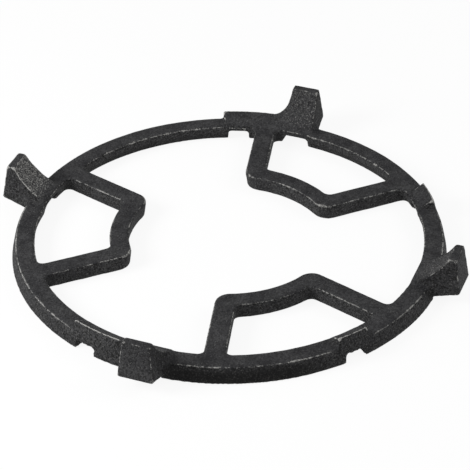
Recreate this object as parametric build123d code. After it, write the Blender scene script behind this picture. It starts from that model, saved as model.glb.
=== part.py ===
"""Cast iron wok ring for a gas hob, one casting.

A leaning ring band carries three inward brackets, each two legs and an arc bar around a
window, and four lugs whose hollowed inner faces seat the wok. The underside has two sets of
notches, so that the ring sits on a pan support with four arms or on one with five.
Where a notch thins the band, a bridge on top makes its section up again.

Frame: the underside lies on Z = 0, Z is the ring's axis, and the lugs are on +X, +Y, -X, -Y.
"""
from build123d import *
from math import cos, degrees, hypot, radians, sin, sqrt, tan
import os

# Ring band, millimetres and degrees
BASE_DIAMETER = 240.0
RING_HEIGHT = 9.8
BAND_BASE_WIDTH = 10.7
BAND_TOP_WIDTH = 11.4
WALL_LEAN = 13.3
TOP_BEVEL = 1.0
UNDERSIDE_BEVEL = 0.6

# Wok seat: rises from the band's inner edge to the top of a lug, hollowed below the straight line
SEAT_FOOT_HEIGHT = 10.0
SEAT_HOLLOW = 2.4

# Lugs
LUG_COUNT = 4
LUG_TOP_HEIGHT = 27.9
LUG_SEAT_OVERHANG = 5.8
LUG_TOP_LENGTH = 4.9
LUG_TOP_WIDTH = 15.6
LUG_DRAFT = 6.1
LUG_TOE_OVERHANG = 13.8
LUG_TOE_HEIGHT = 7.5
LUG_ROOT_HEIGHT = 3.2
LUG_EDGE_RADIUS = 0.8
TOE_BEVEL = 0.5
FLARE_RADIUS = 6.5
WEB_RADIUS = 3.5
WEB_SINK = 0.2

# Brackets
BRACKET_COUNT = 3
BRACKET_OFFSET = 13.0
BRACKET_HALF_ANGLE = 29.5
BRACKET_INNER_RADIUS = 54.9
BAR_WIDTH = 11.3
LEG_WIDTH = 12.1
BRACKET_DRAFT = 6.0
OPENING_CORNER_RADIUS = 8.5
WINDOW_CORNER_RADIUS = 3.5
JUNCTION_RADIUS = 3.0

# Notches for the arms of a pan support
FIVE_ARM_COUNT = 5
NOTCH_DEPTH = 5.4
NOTCH_SLOPE = 7.0
NOTCH_WIDTH = 12.0
LUG_NOTCH_WIDTH = 15.4
NOTCH_CORNER_RADIUS = 1.5

# Bridges over the notches
BRIDGE_MARGIN = 3.2
BRIDGE_BEVEL = 0.7
BRIDGE_SETBACK = 0.15
BRIDGE_FOOT_LENGTH = 2.0
LUG_BRIDGE_REACH = 20.0

BASE_RADIUS = BASE_DIAMETER / 2
SEAT_END_RADIUS = BASE_RADIUS + LUG_SEAT_OVERHANG
TOE_RADIUS = BASE_RADIUS + LUG_TOE_OVERHANG
LEAN = tan(radians(WALL_LEAN))
FULL_TURN = 360.0
SHARED_LUG_ANGLE = 90.0
BISECTIONS = 40
HEIGHT_SLACK = 0.1
RADIUS_SLACK = 0.4


def outer_wall(height):
    """Radius of the band's outer wall at a height."""
    return BASE_RADIUS - LEAN * height


def inner_wall(height):
    """Radius of the band's inner wall at a height."""
    growth = (BAND_TOP_WIDTH - BAND_BASE_WIDTH) / RING_HEIGHT
    return outer_wall(height) - BAND_BASE_WIDTH - growth * height


def lug_angles():
    return [SHARED_LUG_ANGLE + FULL_TURN / LUG_COUNT * i for i in range(LUG_COUNT)]


def five_arm_angles():
    return [SHARED_LUG_ANGLE + FULL_TURN / FIVE_ARM_COUNT * i for i in range(FIVE_ARM_COUNT)]


def bracket_angles():
    first = SHARED_LUG_ANGLE + BRACKET_OFFSET
    return [first + FULL_TURN / BRACKET_COUNT * i for i in range(BRACKET_COUNT)]


def ring_band():
    """The plain band: a leaning four-sided section turned about the axis."""
    section = make_face(Polyline(
        (inner_wall(0), 0),
        (outer_wall(0), 0),
        (outer_wall(RING_HEIGHT), RING_HEIGHT),
        (inner_wall(RING_HEIGHT), RING_HEIGHT),
        close=True,
    ))
    return revolve(Plane.XZ * section, Axis.Z)


def between_sides(inset, drift):
    """The wedge between a bracket's two sides, each moved in by an inset and out by a drift below."""
    far = BASE_DIAMETER
    across = make_face(Polyline(
        (-inset, RING_HEIGHT),
        (drift - inset, 0),
        (-far, 0),
        (-far, RING_HEIGHT),
        close=True,
    ))
    side = Rot(0, 0, BRACKET_HALF_ANGLE) * extrude(Plane.YZ * across, far)
    return side & mirror(side, about=Plane.XZ)


def disc(radius, drift):
    """A disc with its seam away from the bracket, wider by a drift below."""
    stand = (Align.CENTER, Align.CENTER, Align.MIN)
    return Rot(0, 0, FULL_TURN / 2) * Cone(radius + drift, radius, RING_HEIGHT, align=stand)


def bracket(angle):
    """One bracket: two radial legs and an arc bar around a window, all drafted narrower below."""
    drift = RING_HEIGHT * tan(radians(BRACKET_DRAFT))
    reach = (outer_wall(RING_HEIGHT) + inner_wall(RING_HEIGHT)) / 2
    sector = between_sides(0, -drift) & disc(reach, -drift)
    window = between_sides(LEG_WIDTH, drift) - disc(BRACKET_INNER_RADIUS + BAR_WIDTH, -drift)
    return Rot(0, 0, angle) * (sector - disc(BRACKET_INNER_RADIUS, drift) - window)


def upright_edges(body, radius):
    """The edges that rise through the full height at a given radius, half way up."""
    found = []
    for edge in body.edges():
        middle = edge.center()
        full_height = edge.bounding_box().size.Z > RING_HEIGHT * (1 - HEIGHT_SLACK)
        if full_height and abs(hypot(middle.X, middle.Y) - radius) < RADIUS_SLACK:
            found.append(edge)
    return found


def frame_casting():
    """Band and brackets in one, its corners in plan rounded and its long edges broken."""
    body = ring_band()
    for angle in bracket_angles():
        body = body + bracket(angle)
    drawn_in = RING_HEIGHT / 2 * tan(radians(BRACKET_DRAFT))
    bar_inside = BRACKET_INNER_RADIUS + drawn_in
    bar_outside = BRACKET_INNER_RADIUS + BAR_WIDTH - drawn_in
    body = fillet(upright_edges(body, bar_inside), OPENING_CORNER_RADIUS)
    body = fillet(upright_edges(body, bar_outside), WINDOW_CORNER_RADIUS)
    body = fillet(upright_edges(body, inner_wall(RING_HEIGHT / 2)), JUNCTION_RADIUS)
    body = chamfer(body.faces().sort_by(Axis.Z)[-1].edges(), TOP_BEVEL)
    return chamfer(body.faces().sort_by(Axis.Z)[0].edges(), UNDERSIDE_BEVEL)


def seat_circle():
    """Centre and radius of the seat arc, from its two ends and its hollow."""
    foot = (inner_wall(SEAT_FOOT_HEIGHT), SEAT_FOOT_HEIGHT)
    end = (SEAT_END_RADIUS, LUG_TOP_HEIGHT)
    run, rise = end[0] - foot[0], end[1] - foot[1]
    chord = hypot(run, rise)
    radius = (chord ** 2 / 4 + SEAT_HOLLOW ** 2) / (2 * SEAT_HOLLOW)
    away = (radius - SEAT_HOLLOW) / chord
    return foot[0] + run / 2 - away * rise, foot[1] + rise / 2 + away * run, radius


def seat_height(distance):
    """Height of the seat arc above the underside at a distance from the axis."""
    across, up, radius = seat_circle()
    return up - sqrt(radius ** 2 - (distance - across) ** 2)


def seat_arc(start, end):
    """The seat arc in a radial plane, between two distances from the axis."""
    points = [(place, seat_height(place)) for place in (start, (start + end) / 2, end)]
    return ThreePointArc(*points)


def ridge_radius():
    """Where the seat arc meets the outer side of a bridge."""
    low, high = inner_wall(SEAT_FOOT_HEIGHT), BASE_RADIUS
    for _ in range(BISECTIONS):
        middle = (low + high) / 2
        if middle < outer_wall(seat_height(middle)) - BRIDGE_SETBACK:
            low = middle
        else:
            high = middle
    return low


def bridge(start, end):
    """A raised length of the band whose top follows the seat, between two angles."""
    root = RING_HEIGHT / 2
    ridge = ridge_radius()
    foot = inner_wall(RING_HEIGHT) + TOP_BEVEL
    seat_start = foot + BRIDGE_FOOT_LENGTH
    section = make_face([
        Line((foot, root), (outer_wall(root) - BRIDGE_SETBACK, root)),
        Line((outer_wall(root) - BRIDGE_SETBACK, root), (ridge, seat_height(ridge))),
        seat_arc(seat_start, ridge),
        Line((seat_start, seat_height(seat_start)), (foot, RING_HEIGHT)),
        Line((foot, RING_HEIGHT), (foot, root)),
    ])
    block = Rot(0, 0, start) * revolve(Plane.XZ * section, Axis.Z, end - start)
    crest = [edge for edge in block.edges() if edge.center().Z > RING_HEIGHT + BRIDGE_BEVEL]
    return chamfer(crest, BRIDGE_BEVEL)


def to_nearest_lug(angle):
    """The turn from an angle to the nearest lug."""
    turns = [(lug - angle + FULL_TURN / 2) % FULL_TURN - FULL_TURN / 2 for lug in lug_angles()]
    return min(turns, key=abs)


def half_bridge():
    """Half the angle that a bridge over a notch spans."""
    return degrees((NOTCH_WIDTH / 2 + BRIDGE_MARGIN) / ridge_radius())


def bridges():
    """A bridge over each five-arm notch that no lug covers, carried on to a lug that is near."""
    half = half_bridge()
    found = []
    for angle in five_arm_angles():
        turn = to_nearest_lug(angle)
        if abs(turn) < half:
            continue
        start, end = angle - half, angle + half
        if abs(turn) < LUG_BRIDGE_REACH:
            start = min(start, angle + turn)
            end = max(end, angle + turn)
        found.append(bridge(start, end))
    return found


def bridge_side(lug_angle):
    """+1 or -1 for the side of a lug on which a bridge runs on to it, 0 for neither."""
    for angle in five_arm_angles():
        turn = (angle - lug_angle + FULL_TURN / 2) % FULL_TURN - FULL_TURN / 2
        if abs(turn) > half_bridge() and abs(turn) < LUG_BRIDGE_REACH:
            return 1 if turn > 0 else -1
    return 0


def lug_side(height):
    """Distance from a lug's middle plane to its drafted side, at a height."""
    return LUG_TOP_WIDTH / 2 + (LUG_TOP_HEIGHT - height) * tan(radians(LUG_DRAFT))


def lug_slab():
    """A lug's radial profile, far wider than the lug: seat, top, outer face and toe."""
    top_end = SEAT_END_RADIUS + LUG_TOP_LENGTH
    root = RING_HEIGHT / 2
    profile = make_face([
        seat_arc(inner_wall(SEAT_FOOT_HEIGHT), SEAT_END_RADIUS),
        Line((SEAT_END_RADIUS, LUG_TOP_HEIGHT), (top_end, LUG_TOP_HEIGHT)),
        Line((top_end, LUG_TOP_HEIGHT), (TOE_RADIUS, LUG_TOE_HEIGHT)),
        Line((TOE_RADIUS, LUG_TOE_HEIGHT), (outer_wall(LUG_ROOT_HEIGHT), LUG_ROOT_HEIGHT)),
        Line((outer_wall(LUG_ROOT_HEIGHT), LUG_ROOT_HEIGHT), (inner_wall(root), root)),
        Line((inner_wall(root), root), (inner_wall(SEAT_FOOT_HEIGHT), SEAT_FOOT_HEIGHT)),
    ])
    return extrude(Plane.XZ * profile, BASE_RADIUS / 4, both=True)


def web(foot, crest, radius, recess):
    """The hollow corner between a lug's +Y side and the ground beside it, whose height is the
    foot and whose outer edge is at the crest radius. It stays a recess behind the seat."""
    reach = lug_side(foot) + radius
    top = foot + radius
    outline = make_face(Polyline(
        (0, 0),
        (reach, 0),
        (reach, foot),
        (lug_side(foot), foot),
        (lug_side(top), top),
        (0, top),
        close=True,
    ))
    hollow = outline.vertices().sort_by_distance((lug_side(foot), foot))[0]
    across = extrude(Plane.YZ * fillet(hollow, radius), 2 * BASE_RADIUS)
    start = inner_wall(RING_HEIGHT) + TOP_BEVEL
    plan = make_face(Polyline(
        (start, 0),
        (crest + radius, 0),
        (crest + radius, lug_side(top)),
        (sqrt(crest ** 2 - reach ** 2), reach),
        (start + radius, reach),
        (start, lug_side(foot)),
        close=True,
    ))
    return Pos(recess, 0, 0) * lug_slab() & across & extrude(plan, LUG_TOP_HEIGHT)


def lug(angle, flared_side):
    """One lug, narrower towards its top, with a web at each side: a tall one if a bridge is there."""
    outline = make_face(Polyline(
        (-lug_side(0), 0),
        (lug_side(0), 0),
        (lug_side(LUG_TOP_HEIGHT), LUG_TOP_HEIGHT),
        (-lug_side(LUG_TOP_HEIGHT), LUG_TOP_HEIGHT),
        close=True,
    ))
    wedge = lug_slab() & extrude(Plane.YZ * outline, 2 * BASE_RADIUS)
    upper_edges = [edge for edge in wedge.edges() if edge.center().Z > RING_HEIGHT]
    body = fillet(upper_edges, LUG_EDGE_RADIUS)
    toe_edges = [
        edge for edge in body.edges()
        if edge.center().Z < RING_HEIGHT and edge.center().X > BASE_RADIUS + TOE_BEVEL
    ]
    body = chamfer(toe_edges, TOE_BEVEL)
    ridge = ridge_radius()
    for side in (1, -1):
        if side == flared_side:
            ground, crest = seat_height(ridge) - BRIDGE_BEVEL, ridge - BRIDGE_BEVEL
            corner = web(ground, crest, FLARE_RADIUS, 0)
        else:
            ground, crest = RING_HEIGHT - WEB_SINK, outer_wall(RING_HEIGHT) - TOP_BEVEL
            corner = web(ground, crest, WEB_RADIUS, LUG_EDGE_RADIUS)
        if side < 0:
            corner = mirror(corner, about=Plane.XZ)
        body = body + corner
    return Rot(0, 0, angle) * body


def notch(angle, width):
    """A straight slot across the underside and a lug's toe, its ceiling lower further out."""
    inner = inner_wall(0) - BAND_BASE_WIDTH / 2
    middle = BASE_RADIUS - BAND_BASE_WIDTH / 2
    slot = Rectangle(width, 2 * NOTCH_DEPTH)
    slot = fillet(slot.vertices().group_by(Axis.Y)[-1], NOTCH_CORNER_RADIUS)
    bar = Pos(inner - middle, 0, 0) * extrude(Plane.YZ * slot, TOE_RADIUS - inner)
    return Rot(0, 0, angle) * Pos(middle, 0, 0) * Rot(0, NOTCH_SLOPE, 0) * bar


def wok_ring():
    """The whole casting."""
    body = frame_casting()
    for piece in bridges():
        body = body + piece
    for angle in lug_angles():
        body = body + lug(angle, bridge_side(angle))
    for angle in five_arm_angles():
        if angle != SHARED_LUG_ANGLE:
            body = body - notch(angle, NOTCH_WIDTH)
    for angle in lug_angles():
        body = body - notch(angle, LUG_NOTCH_WIDTH)
    return body


part = wok_ring()
os.makedirs("parts", exist_ok=True)
export_step(part, "parts/wok_ring.step")
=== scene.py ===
"""Looks of the wok ring: its sand-cast iron skin, a studio floor, soft lamps and the camera."""

import bmesh
import bpy
import numpy as np
from mathutils import Euler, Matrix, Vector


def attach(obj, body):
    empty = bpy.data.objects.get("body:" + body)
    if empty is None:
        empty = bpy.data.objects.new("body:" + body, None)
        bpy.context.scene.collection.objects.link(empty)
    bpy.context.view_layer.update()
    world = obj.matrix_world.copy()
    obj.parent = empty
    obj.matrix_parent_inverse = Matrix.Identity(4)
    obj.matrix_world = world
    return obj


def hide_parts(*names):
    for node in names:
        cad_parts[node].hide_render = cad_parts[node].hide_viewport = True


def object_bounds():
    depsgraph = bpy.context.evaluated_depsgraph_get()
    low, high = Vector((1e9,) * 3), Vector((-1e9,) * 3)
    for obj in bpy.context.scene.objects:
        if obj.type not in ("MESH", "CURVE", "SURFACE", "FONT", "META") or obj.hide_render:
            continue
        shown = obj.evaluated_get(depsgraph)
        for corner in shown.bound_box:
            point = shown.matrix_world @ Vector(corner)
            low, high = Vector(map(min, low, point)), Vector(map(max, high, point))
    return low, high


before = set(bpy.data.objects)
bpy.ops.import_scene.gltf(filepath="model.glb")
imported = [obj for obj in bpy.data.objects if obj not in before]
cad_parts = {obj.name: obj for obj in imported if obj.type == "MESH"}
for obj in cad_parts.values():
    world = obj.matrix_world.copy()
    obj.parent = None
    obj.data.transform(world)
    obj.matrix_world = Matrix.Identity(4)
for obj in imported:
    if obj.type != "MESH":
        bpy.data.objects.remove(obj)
CAD_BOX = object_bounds()


# The casting
# Grey iron poured in a sand mould in one piece: band, brackets, lugs and bridges. The sand leaves
# a gritty, slightly wavy skin, matt black from its seasoning, with lines along the edges that are
# partly rubbed bare and partly painted highlight.

MM = 0.001
SKIN_VOXEL = 0.84 * MM  # fine, giving under 200,000 triangles
WELD = 0.001 * MM  # the CAD mesh is loose triangles, whose corners meet within this

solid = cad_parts["wok_ring"]
shell = bpy.data.meshes.new("ring_shell")
work = bmesh.new()
work.from_mesh(solid.data)
bmesh.ops.remove_doubles(work, verts=work.verts, dist=WELD)
work.to_mesh(shell)
work.free()
ring = bpy.data.objects.new("cast_ring", shell)
bpy.context.scene.collection.objects.link(ring)
remesh = ring.modifiers.new("even_skin", "REMESH")
remesh.mode = "VOXEL"
remesh.voxel_size = SKIN_VOXEL
skin = bpy.data.meshes.new_from_object(ring.evaluated_get(bpy.context.evaluated_depsgraph_get()))
ring.modifiers.clear()
ring.data = skin


def mesh_arrays(mesh):
    """Vertex places, vertex normals and edge ends of a mesh, as arrays."""
    points = np.empty(len(mesh.vertices) * 3)
    mesh.vertices.foreach_get("co", points)
    normals = np.empty(len(mesh.vertices) * 3)
    mesh.vertex_normals.foreach_get("vector", normals)
    ends = np.empty(len(mesh.edges) * 2, dtype=int)
    mesh.edges.foreach_get("vertices", ends)
    return points.reshape(-1, 3), normals.reshape(-1, 3), ends.reshape(-1, 2)


def neighbour_mean(values, ends):
    """For each vertex, the mean of a value over the vertices that share an edge with it."""
    count = len(values)
    degree = np.bincount(ends.ravel(), minlength=count)
    columns = values.reshape(count, -1)
    total = np.empty_like(columns)
    for i in range(columns.shape[1]):
        total[:, i] = np.bincount(ends[:, 0], columns[ends[:, 1], i], count)
        total[:, i] += np.bincount(ends[:, 1], columns[ends[:, 0], i], count)
    return (total / degree[:, None]).reshape(values.shape)


def neighbour_most(values, ends):
    """For each vertex, the largest of its own value and those of the vertices beside it."""
    most = values.copy()
    np.maximum.at(most, ends[:, 0], values[ends[:, 1]])
    np.maximum.at(most, ends[:, 1], values[ends[:, 0]])
    return most


def lattice_noise(points, cell, seed):
    """Smooth random values from 0 to 1: a random number at each corner of a cubic lattice,
    blended inside a cell by the smoothstep of the place in it."""
    size = 64  # cells after which the lattice repeats
    table = np.random.default_rng(seed).random((size, size, size))
    place = points / cell
    corner = np.floor(place).astype(int)
    part = place - corner
    part = part * part * (3 - 2 * part)
    total = np.zeros(len(points))
    for step in np.ndindex(2, 2, 2):
        at = (corner + step) % size
        share = np.abs(1 - np.array(step) - part).prod(axis=1)
        total += share * table[at[:, 0], at[:, 1], at[:, 2]]
    return total


def ramp(values, start, width):
    """How far each value is on its way from the start across the width, held from 0 to 1. A width
    below 0 leads down from the start."""
    return np.clip((values - start) / width, 0, 1)


def keep(mesh, name, values):
    """Stores one number for each vertex as a named attribute that a material can read."""
    mesh.attributes.new(name, "FLOAT", "POINT").data.foreach_set("value", values.astype(np.float32))


# One pass of smoothing takes the steps out of the remeshed skin, then slow waves and a fine peel,
# as the sand leaves them, are carved inwards
WAVE_DEPTH = 0.12 * MM
WAVE_SIZE = 14 * MM
PEEL_DEPTH = 0.09 * MM
PEEL_SIZE = 2.4 * MM

points, normals, ends = mesh_arrays(skin)
points = (points + neighbour_mean(points, ends)) / 2
waves = WAVE_DEPTH * lattice_noise(points, WAVE_SIZE, seed=11)
peel = PEEL_DEPTH * lattice_noise(points, PEEL_SIZE, seed=12)
carved = points - normals * (waves + peel)[:, None]
skin.vertices.foreach_set("co", np.clip(carved, CAD_BOX[0], CAD_BOX[1]).ravel())
skin.update()
skin.shade_smooth()

# The crest of each edge, drawn lighter: partly bare metal where it is rubbed, and partly painted
# highlight. A vertex's height is how far it stands out of the skin around it, in voxels, and its
# share of the most that any vertex near it has is 1 only along the middle of an edge. The lugs'
# edges are short, and the corners near them take that share from them, so there a height between a
# lug edge's and a corner's makes a crest. The bridges' ridges and the left lug's edges get more of
# it than the others
EDGE_REACH = 4  # passes of the mean that make up the skin around a vertex
EDGE_LEAST = 0.1  # height at which an edge of any kind begins
EDGE_RAMP = 0.05
LUG_EDGE_FROM = 0.225
LUG_EDGE_RAMP = 0.045
CORNER_FROM = 0.42
CORNER_RAMP = 0.04
LUG_EDGE_CREST = 0.96
LUG_HALF_WIDTH = 10.5 * MM
RAISED_FROM = 12 * MM  # only lugs and bridges reach above this
LEFT_LUG_FROM = 100 * MM  # and past this y, only the left lug does
BRIDGE_WEAR_AND_HIGHLIGHT = 0.1
LEFT_LUG_WEAR_AND_HIGHLIGHT = 0.06

points, normals, ends = mesh_arrays(skin)
around = points
for _ in range(EDGE_REACH):
    around = neighbour_mean(around, ends)
stands_out = ((points - around) * normals).sum(axis=1) / SKIN_VOXEL
stands_out = neighbour_mean(neighbour_mean(stands_out, ends), ends)
most = neighbour_most(neighbour_most(stands_out, ends), ends)
along = ramp(stands_out, EDGE_LEAST, EDGE_RAMP) * stands_out / np.maximum(most, EDGE_LEAST)
no_corner = ramp(stands_out, CORNER_FROM, -CORNER_RAMP)
lug_edge = ramp(stands_out, LUG_EDGE_FROM, LUG_EDGE_RAMP) * no_corner
off_axis = np.abs(points[:, :2]).min(axis=1)
raised = points[:, 2] > RAISED_FROM
at_left = points[:, 1] > LEFT_LUG_FROM
extra = BRIDGE_WEAR_AND_HIGHLIGHT * (raised & (off_axis > LUG_HALF_WIDTH)) + LEFT_LUG_WEAR_AND_HIGHLIGHT * (raised & at_left)
keep(skin, "crest", np.maximum(along, LUG_EDGE_CREST * lug_edge) + extra)

# The lugs, which stand on the two axes, and their hollowed seats, which face the ring's axis and
# which the wok rubs, the left one most
SEAT_FOOT_HEIGHT = 10.5 * MM
SEAT_WEAR_RISE = 3 * MM  # from the foot up to where the seat is fully rubbed
SEAT_TURN = 0.25  # part of a normal towards the axis, from which the skin counts as a seat
OTHER_SEATS_WEAR = 0.35  # beside the left one's 1

lug = ramp(off_axis, LUG_HALF_WIDTH, -MM)
outward = points[:, :2] / np.linalg.norm(points[:, :2], axis=1)[:, None]
faces_axis = -(normals[:, :2] * outward).sum(axis=1)
wear_height = ramp(points[:, 2], SEAT_FOOT_HEIGHT, SEAT_WEAR_RISE)
seat = lug * wear_height * ramp(faces_axis, SEAT_TURN, SEAT_TURN)
keep(skin, "wok_rub", seat * np.where(at_left, 1.0, OTHER_SEATS_WEAR))

# The walls, drawn up out of the sand, are grittier than the level tops, and are darkened with
# painted shade, most of all low on the band's front and inside. A lug's seat and its outer face
# came out smoother than its sides
WALL_FROM = 0.85  # upright part of a normal, below which the skin begins to be a wall
WALL_RAMP = 0.2
SMOOTHER = 0.6
SMOOTH_TURN = 0.5  # part of a normal to or from the axis, at which a lug is smoothest
BAND_HEIGHT = 9.8 * MM
BAND_INSIDE = 108 * MM  # radius between the brackets and the band
FRONT = (-0.927, -0.375)  # from the axis to the middle of the band's front
FRONT_FROM = 0.89  # cosine of the angle from that, at which the front begins
FRONT_RAMP = 0.08
SIDE_PAINTED_SHADE = 0.2  # share of the darkest painted shade that the band has round from the front
INSIDE_PAINTED_SHADE = 0.6  # on its inside
BRACKET_PAINTED_SHADE = 0.1  # and on the brackets
WALL_PAINTED_SHADE = 0.12  # on every wall
LUG_PAINTED_SHADE = 0.18  # what a lug's walls have beside that
DARKEST_PAINTED_SHADE = 0.85

wall = ramp(np.abs(normals[:, 2]), WALL_FROM, -WALL_RAMP)
wall *= 1 - SMOOTHER * lug * ramp(np.abs(faces_axis), 0, SMOOTH_TURN)
low = ramp(points[:, 2], BAND_HEIGHT + MM, -BAND_HEIGHT / 2)
at_front = np.maximum(ramp(outward @ FRONT, FRONT_FROM, FRONT_RAMP), SIDE_PAINTED_SHADE)
on_band = np.linalg.norm(points[:, :2], axis=1) > BAND_INSIDE
band_painted_shade = np.where(faces_axis > 0, INSIDE_PAINTED_SHADE, at_front)
blackest = low * (1 - lug) * np.where(on_band, band_painted_shade, BRACKET_PAINTED_SHADE)
keep(skin, "wall", wall)
# Painted shade: how far the skin's colour is darkened towards black, on the walls only
keep(skin, "painted_shade", wall * (WALL_PAINTED_SHADE + LUG_PAINTED_SHADE * lug + DARKEST_PAINTED_SHADE * blackest))


def linear(hex_colour):
    """Linear RGBA of an sRGB colour written as six hex digits."""
    parts = [int(hex_colour[i:i + 2], 16) / 255 for i in (0, 2, 4)]
    curve = [c / 12.92 if c <= 0.04045 else ((c + 0.055) / 1.055) ** 2.4 for c in parts]
    return (*curve, 1.0)


def add(tree, kind, values=None):
    """Adds a shader node and gives its properties and sockets their values. A value that is another
    node's output is linked."""
    node = tree.nodes.new(kind)
    for name, value in (values or {}).items():
        if isinstance(value, bpy.types.NodeSocket):
            tree.links.new(value, node.inputs[name])
        elif isinstance(name, str) and hasattr(node, name):
            setattr(node, name, value)
        else:
            node.inputs[name].default_value = value
    return node


def noise(tree, place, size, detail, roughness):
    """A noise whose grains are about as wide as the size."""
    return add(tree, "ShaderNodeTexNoise", {"Vector": place, "Scale": 1 / size, "Detail": detail,
                                            "Roughness": roughness}).outputs["Fac"]


def kept(tree, name):
    """The attribute that was stored under the name."""
    return add(tree, "ShaderNodeAttribute", {"attribute_name": name}).outputs["Fac"]


def stretch(tree, value, start, end, low=0.0, high=1.0):
    """The value's run from start to end, made to run from low to high and held there."""
    return add(tree, "ShaderNodeMapRange", {"Value": value, "From Min": start, "From Max": end,
                                            "To Min": low, "To Max": high}).outputs["Result"]


def times(tree, value, factor, rest=0.0):
    """The value times the factor, plus the rest."""
    return add(tree, "ShaderNodeMath", {"operation": "MULTIPLY_ADD", 0: value, 1: factor,
                                        2: rest}).outputs["Value"]


def larger(tree, first, second):
    """The larger of two values."""
    return add(tree, "ShaderNodeMath", {"operation": "MAXIMUM", 0: first,
                                        1: second}).outputs["Value"]


def laid_over(tree, under, over, share):
    """One colour laid over another, by a share from 0 to 1."""
    return add(tree, "ShaderNodeMix", {"data_type": "RGBA", 0: share, 6: under, 7: over}).outputs[2]


# Sand-cast grey iron, seasoned black: the grit of the moulding sand, drawn at 1.15 mm because
# its real 0.3 mm would not show, catches the light through its bumps and has specks of painted
# glint, and the edges show lines that are partly rubbed bare grey metal and partly painted
# highlight
GRIT = 1.15 * MM
SPECK = 0.8 * MM  # the grit's finer part, drawn coarser for the same reason
BLOTCH = 8 * MM  # patches of seasoning
SEASONED_DARK = linear("28282a")
SEASONED_PALE = linear("3e3e3f")
PAINTED_SHADE_BLACK = linear("0a0a0a")
RUBBED_SEAT = linear("404041")
PIT_BLACK = linear("0c0c0c")
BARE_METAL_AND_HIGHLIGHT = linear("9a9996")

iron = bpy.data.materials.new("sand_cast_iron")
iron.use_nodes = True
tree = iron.node_tree
tree.nodes.clear()
place = add(tree, "ShaderNodeTexCoord").outputs["Object"]
grit = noise(tree, place, GRIT, detail=1.0, roughness=0.5)
specks = noise(tree, place, SPECK, detail=3.0, roughness=0.7)
blotch = noise(tree, place, BLOTCH, detail=4.0, roughness=0.6)
crest = kept(tree, "crest")
rub = kept(tree, "wok_rub")
upright = kept(tree, "wall")
painted_shade = kept(tree, "painted_shade")

# The black skin, mottled slowly by its seasoning and finely by the grit. The pits between the
# grains are dark grain tone, and are made darkest on the walls by painted shade
TOP_PITS = 0.5  # how dark a pit on a level top is beside one on a wall

mottle = stretch(tree, blotch, start=0.35, end=0.65)
black_skin = laid_over(tree, SEASONED_DARK, SEASONED_PALE, mottle)
# Painted shade laid over the skin's colour on the walls, darkest low on the band's front and inside
shaded_skin = laid_over(tree, black_skin, PAINTED_SHADE_BLACK, painted_shade)
worn = laid_over(tree, shaded_skin, RUBBED_SEAT, rub)
pits = stretch(tree, grit, start=0.53, end=0.42, high=0.9)
deep = times(tree, pits, times(tree, upright, 1 - TOP_PITS, TOP_PITS))
dark = laid_over(tree, worn, PIT_BLACK, deep)

# Specks of painted glint, drawn in a light grey and partly bare metal on the rubbed seats: few on
# the tops, more on the walls and most on the rubbed seats, dulled where the painted shade lies
# thick
WALL_SPECKS = 0.04
SEAT_SPECKS = 0.09
SPECK_BARE = 0.27  # how far a speck is lightened towards the light grey, and what a seat or the painted shade adds to that
SEAT_BARE = 0.65
PAINTED_SHADE_BARE = -0.17

speck_level = times(tree, rub, SEAT_SPECKS, times(tree, upright, WALL_SPECKS, specks))
speck_most = times(tree, rub, SEAT_BARE, times(tree, painted_shade, PAINTED_SHADE_BARE, SPECK_BARE))
# Painted glints: specks whose colour is lightened towards a light grey
speck = stretch(tree, speck_level, start=0.58, end=0.7, high=speck_most)

# Light lines along the edges, partly bare metal and partly painted highlight, thin and broken by
# the seasoning's patches and by the specks
BROKEN_BY_PATCHES = 0.25
BROKEN_BY_SPECKS = 0.35

edge_level = times(tree, specks, BROKEN_BY_SPECKS, times(tree, blotch, BROKEN_BY_PATCHES, crest))
edge = stretch(tree, edge_level, start=1.23, end=1.32)
# Painted highlight and bare metal: the edge lines and the painted glints take a light grey
colour = laid_over(tree, dark, BARE_METAL_AND_HIGHLIGHT, larger(tree, speck, edge))

# A matt surface, with the grit and its finer part standing out of it
GRIT_HEIGHT = 0.4 * MM
FINER_SHARE = 0.6

rough = stretch(tree, blotch, start=0.3, end=0.7, low=0.66, high=0.86)
height = times(tree, specks, FINER_SHARE, grit)
bump = add(tree, "ShaderNodeBump", {"Strength": 1.0, "Distance": GRIT_HEIGHT, "Height": height})
surface = add(tree, "ShaderNodeBsdfPrincipled", {"Specular IOR Level": 0.2, "Base Color": colour,
                                                 "Roughness": rough,
                                                 "Normal": bump.outputs["Normal"]})
add(tree, "ShaderNodeOutputMaterial", {"Surface": surface.outputs["BSDF"]})
skin.materials.clear()
skin.materials.append(iron)
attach(ring, "root")
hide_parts("wok_ring")


# The floor
# A sheet of white card. The camera sees it nearly as plain white, and it keeps a faint shadow.

FLOOR_SIZE = 8.0
PLAIN_WHITE = 0.9  # share of what the camera sees, the rest being the card in the lamps' light

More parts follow.
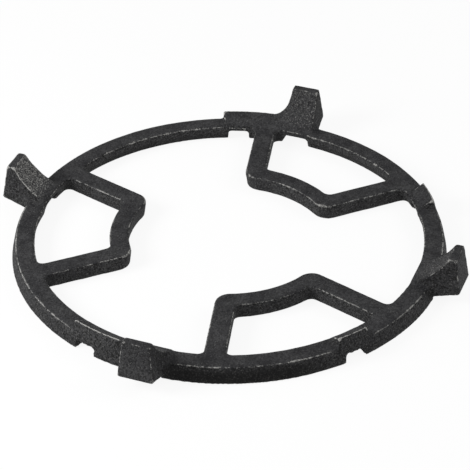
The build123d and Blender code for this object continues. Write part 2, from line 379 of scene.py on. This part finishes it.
bpy.ops.mesh.primitive_plane_add(size=FLOOR_SIZE, location=(0, 0, 0))
floor = bpy.context.object
floor.name = "studio_floor"
card = bpy.data.materials.new("white_card")
card.use_nodes = True
tree = card.node_tree
tree.nodes.clear()
rays = add(tree, "ShaderNodeLightPath").outputs
seen = larger(tree, rays["Is Camera Ray"], rays["Is Glossy Ray"])
seen = larger(tree, seen, rays["Is Transmission Ray"])
matt = add(tree, "ShaderNodeBsdfDiffuse", {"Color": linear("fafafa")})
glow = add(tree, "ShaderNodeEmission", {"Color": linear("ffffff"), "Strength": 1.0})
blend = add(tree, "ShaderNodeMixShader", {0: times(tree, seen, PLAIN_WHITE),
                                          1: matt.outputs["BSDF"], 2: glow.outputs["Emission"]})
add(tree, "ShaderNodeOutputMaterial", {"Surface": blend.outputs["Shader"]})
floor.data.materials.append(card)


# Light
# A white studio all round, a soft lamp at the left of the camera and a weaker one at the right.

world = bpy.data.worlds.new("studio")
bpy.context.scene.world = world
world.use_nodes = True
studio = world.node_tree.nodes["Background"].inputs
studio["Color"].default_value = linear("ffffff")
studio["Strength"].default_value = 0.45


def soft_lamp(name, location, size, power):
    """A square area lamp that faces the ring."""
    data = bpy.data.lights.new(name, "AREA")
    data.size = size
    data.energy = power
    lamp = bpy.data.objects.new(name, data)
    lamp.location = location
    lamp.rotation_euler = (-lamp.location).to_track_quat("-Z", "Y").to_euler()
    bpy.context.scene.collection.objects.link(lamp)


soft_lamp("key", (-0.42, 0.56, 0.45), size=0.35, power=5.5)
soft_lamp("right", (0.33, -0.84, 0.7), size=0.5, power=3.0)


# The camera
# It stands where the photograph was taken from, fitted to the ring's edges.

camera_data = bpy.data.cameras.new("camera")
camera_data.sensor_width = 36.0
camera_data.lens = 156.565
camera = bpy.data.objects.new("camera", camera_data)
camera.location = (-0.85310579, -0.33089793, 0.66255454)
camera.rotation_euler = Euler((0.9495, 0.0070, -1.2092), "XYZ")
bpy.context.scene.collection.objects.link(camera)
bpy.context.scene.camera = camera
bpy.context.scene.view_settings.view_transform = "Standard"
